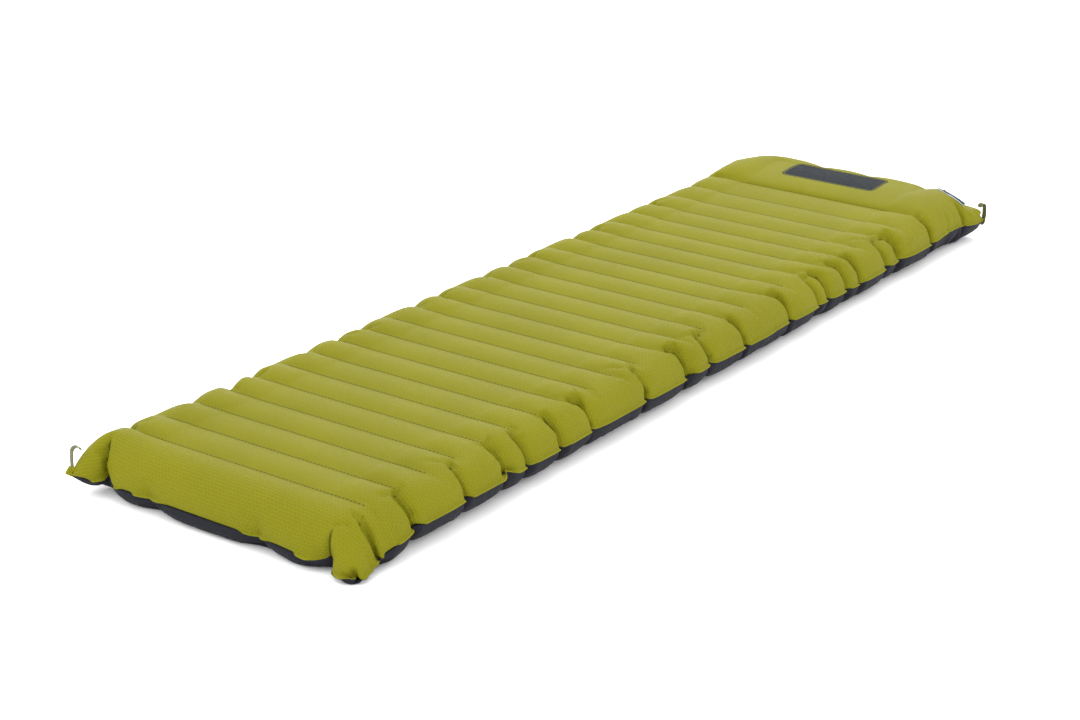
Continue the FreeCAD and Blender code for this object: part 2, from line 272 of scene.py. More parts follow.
def fold_seeds(sheets, depth):
    """Small dents that say where the spare fabric gathers."""
    numbers = np.arange(LAST_CELL + 1)
    places = np.concatenate([[-HALF_LENGTH + RIM_INSET], WELDS])
    for side, pinches in PINCHES:
        outer = np.clip((side * sheets[..., 0] - RIB_END + 0.005) / 0.05, 0, 1)
        for pinch in pinches:
            gap = sheets[..., 1] - np.interp(pinch, numbers, places)
            sheets[..., 0] -= side * depth * np.exp(-(gap / 0.008) ** 2) * outer
    foot = np.where(ROW_CELL == 0, smooth((0.8 - ROW_PART) / 0.5), 0.0)[:, None]
    head = np.where(ROW_CELL == LAST_CELL, smooth((ROW_PART - 0.55) / 0.3), 0.0)[:, None]
    for side, folds, band in ((1, FOOT_FOLDS, foot), (-1, HEAD_FOLDS, head)):
        for place, inward in folds:
            gap = sheets[..., 0] - place
            sheets[..., 1] += side * inward * np.exp(-(gap / 0.007) ** 2) * band


def nearest_row(place):
    """The row at a place counted in ribs from the foot."""
    counted = ROW_CELL + ROW_PART
    return int(np.argmin(np.abs(counted - place)))


def crease_lines(sheets, settings):
    """Points that the pinches and folds hold in: their indices, outward directions and limits."""
    out = normals(sheets)
    random = np.random.default_rng(settings.seed + 1)
    lines = []
    wide = np.abs(COLUMNS)
    for side, pinches in PINCHES:
        columns = np.nonzero(side * COLUMNS > RIB_END + 0.002)[0]
        ease = smooth((wide[columns] - RIB_END + 0.004) / 0.030)
        for pinch in pinches:
            depth = random.uniform(*PINCH_DEPTH)
            start = nearest_row(max(1.0, round(pinch)))
            stop = nearest_row(pinch)
            rows = np.rint(start + (stop - start) * ease).astype(int)
            lines += [(row, column, depth * part) for row, column, part in zip(rows, columns, ease)]
    for cell, folds in ((0, FOOT_FOLDS), (LAST_CELL, HEAD_FOLDS)):
        rows = np.nonzero(ROW_CELL == cell)[0]
        near = 1 - ROW_PART[rows] if cell == 0 else ROW_PART[rows]
        for place, depth in folds:
            column = int(np.argmin(np.abs(COLUMNS - place)))
            ease = smooth((near - (0.35 if depth > 0.005 else 0.6)) / 0.4)
            lines += [(row, column, depth * part) for row, part in zip(rows, ease) if part > 0]
    row, column, depth = (np.array(part) for part in zip(*lines))
    row, column = row.astype(int), column.astype(int)
    places = sheets[:, row, column] - out[:, row, column] * depth[None, :, None]
    limits = (places * out[:, row, column]).sum(-1, keepdims=True)
    return row, column, out[:, row, column].astype(np.float32), limits.astype(np.float32), depth


def hold_creases(sheets, creases):
    """Keep every crease point behind its limit."""
    row, column, out, limits, _ = creases
    points = sheets[:, row, column]
    over = (points * out).sum(-1, keepdims=True) - limits
    sheets[:, row, column] = points - out * np.maximum(over, 0)


def press_creases(sheets, creases, settings):
    """Sharpen the creases, press a short curved wrinkle inboard of each pinch, and return their
    painted shade.
    """
    row, column, _, _, depth = creases
    out = normals(sheets)
    painted_crease_shade = np.zeros(sheets.shape[:3])
    strength = np.clip(depth / 0.008, 0, 1)
    sheets[:, row, column] -= settings.crease_depth * (strength[:, None] * out[:, row, column])
    # Painted shade: every crease point gets a darkness by its depth, which the fabric paints as the
    # shade in the fold.
    painted_crease_shade[:, row, column] = strength
    random = np.random.default_rng(settings.seed + 2)
    along = np.linspace(0, 1, 25)
    for side, pinches in PINCHES:
        for pinch in pinches:
            for turn in (-1, 1):
                length = random.uniform(0.020, 0.045)
                bend = turn * random.uniform(2.0, 5.0)
                depth = random.uniform(0.5, 1.1) * settings.crease_depth
                across = side * (RIB_END + 0.016 - length * along)
                places = nearest_row(pinch) + bend * (0.35 + along ** 2)
                if turn > 0 and random.random() < 0.5:
                    continue
                columns = np.abs(COLUMNS - across[:, None]).argmin(axis=1)
                rows = np.clip(np.rint(places).astype(int), 1, ROWS - 2)
                first = {}
                for step, point in zip(along, zip(rows, columns)):
                    first.setdefault(point, step)
                for point, step in first.items():
                    if point[0] in WELD_ROWS:
                        continue
                    part = math.sin(math.pi * min(1.0, 0.08 + step))
                    sheets[(0,) + point] -= depth * part * out[(0,) + point]
                    # Painted shade along the wrinkle, at up to half strength.
                    painted_crease_shade[(0,) + point] = max(painted_crease_shade[(0,) + point], 0.5 * part)
    share_rim(sheets)
    np.maximum(sheets[..., 2], 0.0, out=sheets[..., 2])
    return painted_crease_shade


def hold_corners(sheets):
    """Keep each corner inside a rounded outline, and its tip at its height."""
    for side, end, across, along, radius, height in CORNERS:
        rows = slice(-CORNER_REACH, None) if end > 0 else slice(0, CORNER_REACH)
        columns = slice(-CORNER_REACH, None) if side > 0 else slice(0, CORNER_REACH)
        block = sheets[:, rows, columns]
        x, y = side * block[..., 0], end * block[..., 1]
        over_x = np.clip(x - (across - radius), 0, None)
        over_y = np.clip(y - (along - radius), 0, None)
        far = np.maximum(np.hypot(over_x, over_y), 1e-9)
        keep = np.minimum(1.0, radius / far)
        block[..., 0] = side * (x - over_x * (1 - keep))
        block[..., 1] = end * (y - over_y * (1 - keep))
        sheets[:, -1 if end > 0 else 0, -1 if side > 0 else 0, 2] = height


def lower_foot_seam(sheets):
    """Keep the seam low across the foot face and round the right corner."""
    places, heights = zip(*FOOT_SEAM)
    limit = np.interp(sheets[0, 0, :, 0], places, heights)
    sheets[:, 0, :, 2] = np.clip(sheets[:, 0, :, 2], limit - 0.004, limit)
    face = np.abs(COLUMNS) < 0.20
    sheets[:, 0, face, 1] = np.maximum(sheets[:, 0, face, 1], 0.001 - HALF_LENGTH)
    ribs, heights = zip(*SIDE_SEAM)
    near = np.nonzero(ROW_CELL + ROW_PART <= ribs[-1])[0]
    limit = np.interp((ROW_CELL + ROW_PART)[near], ribs, heights)
    sheets[:, near, -1, 2] = np.minimum(sheets[:, near, -1, 2], limit)


def share_rim(sheets):
    """The two sheets are one along their rim."""
    for edge in ((0, slice(None)), (-1, slice(None)), (slice(None), 0), (slice(None), -1)):
        both = (sheets[(0,) + edge] + sheets[(1,) + edge]) / 2
        sheets[(0,) + edge] = both
        sheets[(1,) + edge] = both


def held_points():
    """1 where fabric is free and 0 where the ribs hold it, for both sheets."""
    across = np.abs(COLUMNS)[None, :]
    ribbed = ((ROW_CELL >= 1) & (ROW_CELL < LAST_CELL))[:, None]
    weld = ((ROW_PART == 0) & (ROW_CELL >= 1))[:, None]
    held = (ribbed & (across <= RIB_END - 0.055)) | (weld & (across <= RIB_END))
    pillow = (ROW_CELL == LAST_CELL)[:, None]
    part = ROW_PART[:, None]
    top = held | (pillow & (part < 0.55) & (across <= 0.150))
    low = held | (pillow & (part < 0.72) & (across <= 0.185))
    return (~np.stack([top, low])).astype(np.float32)[..., None]


def springs(flat_y, free, side_gather, end_gather):
    """The grid's threads in groups that share no point, with their flat lengths."""
    columns = len(COLUMNS)
    wide = np.abs(COLUMNS)
    over = np.clip(wide - RIB_END, 0, None)
    flat_x = np.stack([np.sign(COLUMNS) * (np.minimum(wide, RIB_END)
                                           + over * flat / (COLUMNS[-1] - RIB_END))
                       for flat in SIDE_FLAT])[:, None, :, None]
    spare_y = 1 + side_gather * smooth((wide - RIB_END + 0.02) / 0.06)[None, None, :, None]
    ends = np.where(ROW_CELL == 0, smooth((0.75 - ROW_PART) / 0.5), 0.0)
    ends = ends + np.where(ROW_CELL == LAST_CELL, smooth((ROW_PART - 0.55) / 0.35), 0.0)
    spare_x = 1 + end_gather * ends[None, :, None, None]
    short = np.array([np.where(ROW_CELL == 0, share, 1.0) for share in FOOT_SHARE])
    first_weld = flat_y[WELD_ROWS[0]]
    flat = (first_weld + (flat_y - first_weld) * short)[:, :, None, None]
    corner = np.hypot((flat_y - flat_y[0])[:, None], COLUMNS[-1] - COLUMNS[None, :])
    rounded = (1 - 0.15 * smooth(1 - corner / 0.085))[None, ..., None]
    groups = []
    for down, right, stiff in ((0, 1, 1.0), (1, 0, 1.0), (1, 1, 0.35), (1, -1, 0.35),
                               (0, 2, 0.02), (2, 0, 0.02)):
        step = down or right
        for colour in range(2):
            if down:
                rows = np.concatenate([np.arange(k, min(k + step, ROWS - down))
                                       for k in range(colour * step, ROWS - down, 2 * step)])
                first = max(0, -right)
                places = np.arange(first, columns - max(0, right))
            else:
                rows = np.arange(ROWS)
                places = np.concatenate([np.arange(k, min(k + step, columns - right))
                                         for k in range(colour * step, columns - right, 2 * step)])
            rows, places = rows[:, None], places[None, :]
            one = (slice(None), rows, places)
            two = (slice(None), rows + down, places + right)
            along = flat[:, rows + down, 0] - flat[:, rows, 0]
            along = along * (spare_y[:, 0, places] + spare_y[:, 0, places + right]) / 2
            across = flat_x[:, 0, places + right] - flat_x[:, 0, places]
            across = across * (spare_x[:, rows, 0] + spare_x[:, rows + down, 0]) / 2
            length = np.sqrt(along ** 2 + across ** 2) * (rounded[one] + rounded[two]) / 2
            loose = free[one] + free[two]
            loose[loose == 0] = 1
            groups.append((one, two, length.astype(np.float32), stiff * free[one] / loose,
                           stiff * free[two] / loose))
    return groups


def seat_valve(sheets):
    """Keep the fabric on the valve's flat seat, and below its plane around it."""
    patch = sheets[0, -HEAD_ROWS:, len(COLUMNS) // 2:]
    offset = patch - np.array(VALVE_SEAT, np.float32)
    up, along, across = (offset @ np.array(axis, np.float32)
                         for axis in (VALVE_UP, VALVE_ALONG, VALVE_ACROSS))
    straight = (FLANGE_LENGTH - FLANGE_WIDTH) / 2
    edge = np.hypot(np.clip(np.abs(along) - straight, 0, None), across) - FLANGE_WIDTH / 2
    limit = -0.0004 + 0.6 * np.clip(edge - 0.002, 0, None)
    lower = np.where(edge < 0.002, up - limit, np.clip(up - limit, 0, None))
    lower = np.where(edge < 0.05, lower, 0)
    patch -= lower[..., None] * np.array(VALVE_UP, np.float32)


def normals(sheets):
    """Each point's outward direction."""
    down, right = np.gradient(sheets, axis=1), np.gradient(sheets, axis=2)
    out = np.cross(right, down)
    out /= np.linalg.norm(out, axis=-1, keepdims=True) + 1e-12
    out[1] *= -1
    return out


def blow_up(sheets, settings):
    """Blow the two flat sheets up: their threads keep their length, the ribs hold them in."""
    flat_y, _ = flat_length(settings.cell_rise)
    creases = crease_lines(sheets, settings)
    fold_seeds(sheets, settings.fold_depth)
    free = held_points()
    noise = np.random.default_rng(settings.seed).normal(0, 0.0004, sheets.shape)
    sheets = (sheets + noise * free).astype(np.float32)
    share_rim(sheets)
    groups = springs(flat_y, free, settings.side_gather, settings.end_gather)
    weld_y = WELDS.astype(np.float32)[:, None, None]
    outboard = int(np.sum(COLUMNS > RIB_END))
    right, left = sheets[:, :, -outboard:, 0], sheets[:, :, :outboard, 0]
    by_weld = np.unique(np.concatenate([WELD_ROWS - 1, WELD_ROWS, WELD_ROWS + 1]))[:, None]
    inboard = np.nonzero(np.abs(COLUMNS) <= RIB_END + 0.001)[0][None, :]
    speed = np.zeros_like(sheets)
    for step in range(settings.steps):
        before = sheets.copy()
        pressure = min(1.0, (step + 1) / FIRST_STEPS)
        sheets += free * (speed * DRAG + normals(sheets) * PUSH * pressure)
        for _ in range(PASSES):
            for one, two, length, give_one, give_two in groups:
                near, far = sheets[one], sheets[two]
                gap = far - near
                now = np.sqrt((gap * gap).sum(-1, keepdims=True)) + 1e-9
                pull = gap * ((now - length) / now)
                sheets[one] = near + pull * give_one
                sheets[two] = far - pull * give_two
            share_rim(sheets)
            np.maximum(sheets[..., 2], 0.0, out=sheets[..., 2])
            np.maximum(right, RIB_END + RIB_GAP, out=right)
            np.minimum(left, -RIB_END - RIB_GAP, out=left)
            sheets[:, WELD_ROWS, :, 1] = np.clip(sheets[:, WELD_ROWS, :, 1], weld_y - WELD_SLACK,
                                                 weld_y + WELD_SLACK)
            hold_creases(sheets, creases)
            hold_corners(sheets)
            lower_foot_seam(sheets)
            seat_valve(sheets)
            sheets[0, by_weld, inboard, 2] = np.maximum(sheets[0, by_weld, inboard, 2], TOP_VALLEY)
            sheets[1, by_weld, inboard, 2] = np.minimum(sheets[1, by_weld, inboard, 2], LOW_VALLEY)
        speed = sheets - before
        if step > settings.steps - LAST_STEPS:
            speed *= 0.8
    # Returns the blown-up sheets and the painted shade along their creases.
    return sheets, press_creases(sheets, creases, settings)


def with_lip(sheets, lip):
    """Each sheet with one more ring of points: the narrow welded lip round the rim."""
    wide = np.pad(sheets, ((0, 0), (1, 1), (1, 1), (0, 0)), mode="edge")
    rows, columns = sheets.shape[1:3]
    row, column = np.arange(-1, rows + 1)[:, None], np.arange(-1, columns + 1)[None, :]
    rim = sheets[:, row.clip(0, rows - 1), column.clip(0, columns - 1)]
    out = rim - sheets[:, row.clip(1, rows - 2), column.clip(1, columns - 2)]
    out /= np.linalg.norm(out, axis=-1, keepdims=True) + 1e-9
    out = out.sum(axis=0)
    out /= np.linalg.norm(out, axis=-1, keepdims=True) + 1e-9
    ring = np.ones((rows + 2, columns + 2), bool)
    ring[1:-1, 1:-1] = False
    wide[:, ring] += lip * out[ring]
    return wide, ring


# ------------------------------------------------------------ materials


class Finish:
    """One material's nodes, put together a few at a time."""

    def __init__(self, name, roughness=0.5, specular=0.5, **constants):
        self.material = bpy.data.materials.new(name)
        self.material.use_nodes = True
        self.tree = self.material.node_tree
        self.surface = self.tree.nodes["Principled BSDF"]
        self.surface.inputs["Roughness"].default_value = roughness
        self.surface.inputs["Specular IOR Level"].default_value = specular
        self.show(**constants)

    def node(self, kind, sockets=None, **settings):
        made = self.tree.nodes.new("ShaderNode" + kind)
        for key, value in settings.items():
            setattr(made, key, value)
        for key, value in (sockets or {}).items():
            self.put(made.inputs[key], value)
        return made

    def put(self, socket, value):
        if isinstance(value, bpy.types.NodeSocket):
            self.tree.links.new(value, socket)
        else:
            socket.default_value = value

    def calc(self, operation, *values):
        return self.node("Math", dict(enumerate(values)), operation=operation).outputs[0]

    def times(self, one, two):
        return self.calc("MULTIPLY", one, two)

    def wave(self, value, pitch):
        return self.calc("SINE", self.times(value, 2 * math.pi / pitch))

    def mark(self, name):
        return self.node("Attribute", attribute_name=name).outputs["Fac"]

    def place(self):
        return self.node("TexCoord").outputs["Object"]

    def parts(self, vector):
        return self.node("SeparateXYZ", {0: vector}).outputs

    def millimetres(self, vector):
        return self.vector("SCALE", vector, scale=1000.0)

    def vector(self, operation, *values, scale=None):
        made = self.node("VectorMath", dict(enumerate(values)), operation=operation)
        if scale is not None:
            made.inputs["Scale"].default_value = scale
        return made.outputs["Value" if operation in {"LENGTH", "DOT_PRODUCT"} else "Vector"]

    def fade(self, value, low, high, start=0.0, stop=1.0):
        sockets = dict(enumerate((value, low, high, start, stop)))
        return self.node("MapRange", sockets, interpolation_type="SMOOTHSTEP").outputs[0]

    def mix(self, factor, one, two):
        return self.node("Mix", {0: factor, 6: one, 7: two}, data_type="RGBA").outputs[2]

    def noise(self, vector, scale, detail=3.0, roughness=0.55):
        sockets = {"Vector": vector, "Scale": scale, "Detail": detail, "Roughness": roughness}
        return self.node("TexNoise", sockets).outputs["Fac"]

    def bump(self, height, distance, strength=1.0, under=None):
        sockets = {"Height": height, "Distance": distance, "Strength": strength}
        if under is not None:
            sockets["Normal"] = under
        return self.node("Bump", sockets).outputs["Normal"]

    def show(self, **sockets):
        for name, value in sockets.items():
            self.put(self.surface.inputs[name.replace("_", " ")], value)
        return self.material


def shade(colour, amount):
    """A colour made lighter or darker."""
    return tuple(min(1.0, part * amount) for part in colour[:3]) + (1.0,)


def weave_height(finish, place, pitch):
    """A plain weave's height, from a place in millimetres."""
    parts = finish.parts(place)
    return finish.times(finish.wave(parts[0], pitch), finish.wave(parts[1], pitch))


def coated_ripstop(name, colour, print_colour=None):
    """Coated ripstop: rows of small oblong blocks, pressed weld lines, a lighter lip and painted
    shade in the creases.
    """
    colour = tuple(colour)
    finish = Finish(name, roughness=0.55, specular=0.045)
    flat = finish.node("UVMap", uv_map="flat_cloth").outputs[0]
    place = finish.millimetres(flat)
    blocks = finish.node("TexBrick", {"Vector": place, "Scale": 1.0, "Mortar Size": 0.7,
                                                "Mortar Smooth": 0.8, "Brick Width": 6.4,
                                                "Row Height": 4.4}, offset=0.5).outputs["Fac"]
    weave = weave_height(finish, place, 0.55)
    cloudy = finish.noise(flat, 7.0, 4.0)
    mottled = finish.noise(flat, 160.0, 2.0)
    tone = finish.mix(finish.fade(cloudy, 0.3, 0.7), shade(colour, 0.95), shade(colour, 1.05))
    tone = finish.mix(finish.times(mottled, 0.25), tone, shade(colour, 0.88))
    parts = finish.parts(place)
    side = finish.fade(finish.calc("ABSOLUTE", parts[0]), 165.0, 225.0)
    clear = finish.calc("MAXIMUM", side, finish.fade(parts[1], 115.0, 70.0))
    clear = finish.fade(clear, 0.0, 1.0, 0.35, 1.0)
    blocks = finish.times(blocks, clear)
    tone = finish.mix(finish.times(blocks, 0.6), tone, shade(colour, 1.45))
    gap = finish.mark("weld_gap")
    jitter = finish.times(finish.calc("SUBTRACT", finish.noise(flat, 420.0, 2.0), 0.5), 0.003)
    line = finish.fade(finish.calc("ADD", gap, jitter), 0.0026, 0.0008)
    dots = finish.fade(finish.wave(parts[0], 6.5), -0.5, 0.5, 0.35, 1.0)
    line = finish.times(line, dots)
    pressed = finish.fade(gap, 0.0042, 0.0030)
    tone = finish.mix(finish.times(line, 0.9), tone, shade(colour, 0.35))
    lip = finish.mark("seam_lip")
    edge = finish.fade(lip, 0.15, 0.75)
    tone = finish.mix(finish.times(edge, 0.6), tone, shade(colour, 1.45))
    # Painted shade: along the creases and wrinkles the fabric is darkened to a quarter of its
    # colour.
    crease = finish.mark("crease")
    tone = finish.mix(finish.times(finish.fade(crease, 0.25, 0.95), 0.9), tone,
                      shade(colour, 0.25))
    rough = finish.fade(mottled, 0.25, 0.75, 0.50, 0.62)
    if print_colour is not None:
        ink = print_panel(finish)
        tone = finish.mix(ink[0], tone, tuple(print_colour[:3]) + (1.0,))
        tone = finish.mix(ink[1], tone, shade(colour, 1.05))
    normal = finish.bump(weave, 0.00006, 0.35)
    relief = finish.times(blocks, finish.fade(pressed, 0.0, 1.0, 1.0, 0.15))
    normal = finish.bump(relief, 0.0006, 0.8, normal)
    normal = finish.bump(finish.times(line, -1.0), 0.0007, 0.8, normal)
    crinkle = finish.noise(finish.vector("MULTIPLY", flat, (22.0, 120.0, 1.0)), 1.0, 4.0)
    normal = finish.bump(finish.times(crinkle, side), 0.0022, 0.5, normal)
    return finish.show(Base_Color=tone, Roughness=rough, Normal=normal)


def print_panel(finish):
    """Masks of the plain printed panel on the pillow and of the thin line inside it."""
    place = finish.place()
    parts = finish.parts(place)
    flat = finish.node("CombineXYZ", {0: parts[0], 1: parts[1], 2: 0.0}).outputs[0]
    away = finish.vector("ABSOLUTE", finish.vector("SUBTRACT", flat, PANEL_MIDDLE))
    corner = finish.vector("MAXIMUM", finish.vector("SUBTRACT", away, PANEL_CORE), (0.0, 0.0, 0.0))
    reach = finish.vector("LENGTH", corner)
    panel = finish.fade(reach, 0.0126, 0.0120)
    panel = finish.times(panel, finish.fade(parts[2], 0.05, 0.06))
    outer, inner = finish.fade(reach, 0.0098, 0.0094), finish.fade(reach, 0.0086, 0.0082)
    return panel, finish.times(panel, finish.calc("SUBTRACT", outer, inner))


def rib_film(name, colour):
    """Thin white film of the ribs, with a fine weave."""
    finish = Finish(name, roughness=0.55, specular=0.4)
    place = finish.millimetres(finish.place())
    turned = finish.node("Mapping", {"Vector": place,
                                               "Rotation": (math.pi / 2, 0, 0)}).outputs[0]
    weave = weave_height(finish, turned, 0.8)
    cloudy = finish.noise(place, 0.03, 3.0)
    tone = finish.mix(finish.fade(cloudy, 0.3, 0.7), shade(colour, 0.92), shade(colour, 1.0))
    return finish.show(Base_Color=tone, Normal=finish.bump(weave, 0.00005, 0.5))


def woven_webbing(name, colour, edge_colour):
    """Flat woven strap: chevron ribs along it and a raised edge on either side."""
    finish = Finish(name, roughness=0.68, specular=0.28, Sheen_Weight=0.25, Sheen_Roughness=0.4)
    flat = finish.node("UVMap", uv_map="strap").outputs[0]
    place = finish.millimetres(flat)
    parts = finish.parts(place)
    away = finish.calc("ABSOLUTE", parts[0])
    slant = finish.calc("ADD", parts[1], finish.times(finish.calc("PINGPONG", parts[0], 1.6), 0.8))
    yarn = finish.wave(slant, 0.9)
    cords = finish.wave(parts[0], 0.8)
    height = finish.calc("ADD", yarn, finish.times(cords, 0.5))
    edge = finish.fade(away, 3.9, 4.5)
    fuzz = finish.noise(place, 1.5, 3.0)
    # Painted shade and light: the weave's low parts are darkened and its ridges lightened.
    tone = finish.mix(finish.fade(height, -1.2, 1.2), shade(colour, 0.62), shade(colour, 1.12))
    tone = finish.mix(finish.times(fuzz, 0.3), tone, shade(colour, 0.8))
    tone = finish.mix(finish.times(edge, 0.7), tone, tuple(edge_colour[:3]) + (1.0,))
    return finish.show(Base_Color=tone, Normal=finish.bump(height, 0.00014, 0.6))


def moulded_plastic(name, colour, rings, grain, roughness, **constants):
    """Moulded plastic with a fine grain, turned rings round the port and lighter edges."""
    finish = Finish(name, roughness=roughness, specular=0.45, **constants)
    place = finish.place()
    port = VALVE_SEAT + VALVE_ALONG * PORT_OFFSET
    offset = finish.vector("SUBTRACT", place, tuple(port))
    along = finish.vector("DOT_PRODUCT", offset, tuple(VALVE_ALONG))
    across = finish.vector("DOT_PRODUCT", offset, tuple(VALVE_ACROSS))
    square = finish.calc("ADD", finish.times(along, along), finish.times(across, across))
    reach = finish.calc("POWER", square, 0.5)
    turned = finish.wave(reach, rings)
    speckle = finish.noise(place, 1400.0, 2.0)
    cloudy = finish.noise(place, 60.0, 3.0)
    tone = finish.mix(finish.fade(cloudy, 0.3, 0.7), shade(colour, 0.85), shade(colour, 1.12))
    pointed = finish.node("NewGeometry").outputs["Pointiness"]
    # Sharp convex edges, found by their pointiness, are made up to 1.9 times lighter.
    lighter_edges = finish.fade(pointed, 0.52, 0.62, 0.0, 0.35)
    tone = finish.mix(lighter_edges, tone, shade(colour, 1.9))
    rough = finish.fade(speckle, 0.3, 0.7, roughness - 0.07, roughness + 0.08)
    normal = finish.bump(speckle, 0.00003, grain)
    normal = finish.bump(turned, 0.00012, 0.35, normal)
    return finish.show(Base_Color=tone, Roughness=rough, Normal=normal)


def give_finish(names, material):
    """Put a material on CAD nodes, in every slot they have."""
    for name in names:
        node = frame["nodes"][name]
        if not node.material_slots:
            raise RuntimeError(name + " has no material slot")
        for place in node.material_slots:
            place.link = "OBJECT"
            place.material = material


# ------------------------------------------------------------ modelling


def start_piece():
    """Leave edit mode and deselect everything."""
    if bpy.context.mode != "OBJECT":
        bpy.ops.object.mode_set(mode="OBJECT")
    bpy.ops.object.select_all(action="DESELECT")


def only(piece):
    """Make a piece the one selected."""
    start_piece()
    piece.select_set(True)
    bpy.context.view_layer.objects.active = piece


def modify(piece, kind, **settings):
    """Add a modifier and apply it."""
    only(piece)
    made = piece.modifiers.new(kind.lower(), kind)
    for key, value in settings.items():
        setattr(made, key, value)
    bpy.ops.object.modifier_apply(modifier=made.name)


def set_shape(piece, points):
    """Move every vertex of a piece."""
    piece.data.vertices.foreach_set("co", np.asarray(points, np.float32).ravel())
    piece.data.update()


def cut_port(piece):
    """Cut the round hole where the valve's port goes through the fabric."""
    port = VALVE_SEAT + VALVE_ALONG * PORT_OFFSET
    mesh = bmesh.new()
    mesh.from_mesh(piece.data)

    def reach(point):
        offset = point - port
        rise = offset.dot(VALVE_UP)
        return (offset - VALVE_UP * rise).length if abs(rise) < 0.008 else 1.0

    inside = [face for face in mesh.faces if reach(face.calc_center_median()) < PORT_HOLE]
    bmesh.ops.delete(mesh, geom=inside, context="FACES")
    for vertex in mesh.verts:
        if vertex.is_boundary and reach(vertex.co) < PORT_HOLE * 1.6:
            offset = vertex.co - port
            offset -= VALVE_UP * offset.dot(VALVE_UP)
            vertex.co = port + offset.normalized() * PORT_HOLE - VALVE_UP * 0.0004
    mesh.to_mesh(piece.data)
    mesh.free()


def cut_sheet(name, points, flat, marks, top, settings):
    """One fabric sheet: a flat grid, moved to its blown-up shape and given its thickness."""
    start_piece()
    rows, columns = points.shape[:2]
    bpy.ops.mesh.primitive_grid_add(x_subdivisions=columns - 1, y_subdivisions=rows - 1, size=1.0)
    sheet = bpy.context.object
    sheet.name = sheet.data.name = name
    set_shape(sheet, points.reshape(-1, 3))
    flat_map = sheet.data.uv_layers[0]
    flat_map.name = "flat_cloth"
    corner = np.zeros(len(sheet.data.loops), np.int32)
    sheet.data.loops.foreach_get("vertex_index", corner)
    flat_map.uv.foreach_set("vector", flat.reshape(-1, 2)[corner].astype(np.float32).ravel())
    # The crease mark carries painted shade along the creases and wrinkles.
    for label, values in zip(("weld_gap", "seam_lip", "crease"), marks):
        layer = sheet.data.attributes.new(label, "FLOAT", "POINT")
        layer.data.foreach_set("value", values.astype(np.float32).ravel())
    if not top:
        bpy.ops.object.mode_set(mode="EDIT")
        bpy.ops.mesh.select_all(action="SELECT")
        bpy.ops.mesh.flip_normals()
        bpy.ops.object.mode_set(mode="OBJECT")
    modify(sheet, "SUBSURF", levels=1, render_levels=1)
    if top:
        cut_port(sheet)
    modify(sheet, "SOLIDIFY", thickness=settings.fabric_thickness, offset=-1.0)
    only(sheet)
    bpy.ops.object.shade_smooth()
    return sheet


def strap_line(irregular):
    """The webbing loop's middle line in its own plane: reach outwards and height."""
    high, low, radius = STRAP_TOP, STRAP_FOOT, STRAP_RADIUS
    points = [(radius * math.cos(angle), high + radius * math.sin(angle))
              for angle in np.linspace(math.pi, 0, 13)]
    for height in np.linspace(high, low, 8)[1:-1]:
        bow = STRAP_BOW * math.sin(math.pi * (high - height) / (high - low))
        points.append((radius + bow * irregular, height))
    return points + [(radius * math.cos(angle), low + radius * math.sin(angle))
                     for angle in np.linspace(0, -math.pi, 13)]


# ------------------------------------------------------------ settings


def number(label, what, value, low, high=1000.0, **kind):
    """A setting that is a number."""
    return FloatProperty(name=label, description=what, default=value, min=low, max=high, **kind)


def tint(label, value):
    """A setting that is a colour."""
    return FloatVectorProperty(name=label, description="Colour of the " + label.lower(), size=3,
                               subtype="COLOR", min=0, max=1, default=value)


class SleepingPadSettings(PropertyGroup):
    """Sizes and colours of the sleeping pad."""

    cell_rise: number("Cell rise", "Rise of a cell between two welds", 0.0068, 0.002, 0.02,
                      unit="LENGTH")
    fabric_thickness: number("Fabric thickness", "Thickness of one fabric layer", 0.0006, 0.0002,
                             0.002, unit="LENGTH")
    seam_lip: number("Seam lip", "Width of the welded lip outside the rim", 0.004, 0.0, 0.01,
                     unit="LENGTH")
    side_gather: number("Side gather", "Spare length of fabric along the sides", 0.11, 0.0, 0.2,
                        subtype="FACTOR")
    end_gather: number("End gather", "Spare width of fabric across the two ends", 0.035, 0.0, 0.2,
                       subtype="FACTOR")
    fold_depth: number("Fold depth", "Depth of a pinch before the pad is blown up", 0.015, 0.0,
                       0.03, unit="LENGTH")
    crease_depth: number("Crease depth", "How far a crease's line is pressed in", 0.0035, 0.0,
                         0.01, unit="LENGTH")
    steps: IntProperty(name="Steps", description="Steps of the blowing up", default=130, min=1,
                       max=400)
    seed: IntProperty(name="Seed", description="Which small wrinkles form", default=11, min=0)
    top_colour: tint("Top fabric", (0.1340, 0.1295, 0.0048))
    low_colour: tint("Bottom fabric", (0.0130, 0.0136, 0.0175))
    print_colour: tint("Printed panel", (0.0040, 0.0070, 0.0100))
    rib_colour: tint("Inner ribs", (0.5616, 0.5616, 0.546))
    webbing_colour: tint("Corner loops", (0.0663, 0.0686, 0.014))
    webbing_edge: tint("Corner loops' edges", (0.1482, 0.1482, 0.0234))
    flange_colour: tint("Valve flange", (0.351, 0.39, 0.4056))
    cap_colour: tint("Deflation cap", (0.014, 0.0203, 0.0429))
    lid_colour: tint("Inflation cap", (0.234, 0.2808, 0.312))
    disc_colour: tint("Check disc", (0.61, 0.59, 0.55))


class StageSettings(PropertyGroup):
    """Floor, lights and camera."""

    floor_size: number("Floor", "Side of the square floor", 14.0, 4.0, unit="LENGTH")
    sky: number("Room light", "Strength of the even light all round", 2.25, 0.0)
    key_power: number("Main light", "Power of the large lamp", 84.0, 0.0, unit="POWER")
    fill_power: number("Fill light", "Power of the second lamp", 18.0, 0.0, unit="POWER")
    lens: number("Lens", "Focal length", 0.07615, 0.01, unit="CAMERA")


# ------------------------------------------------------------ operators


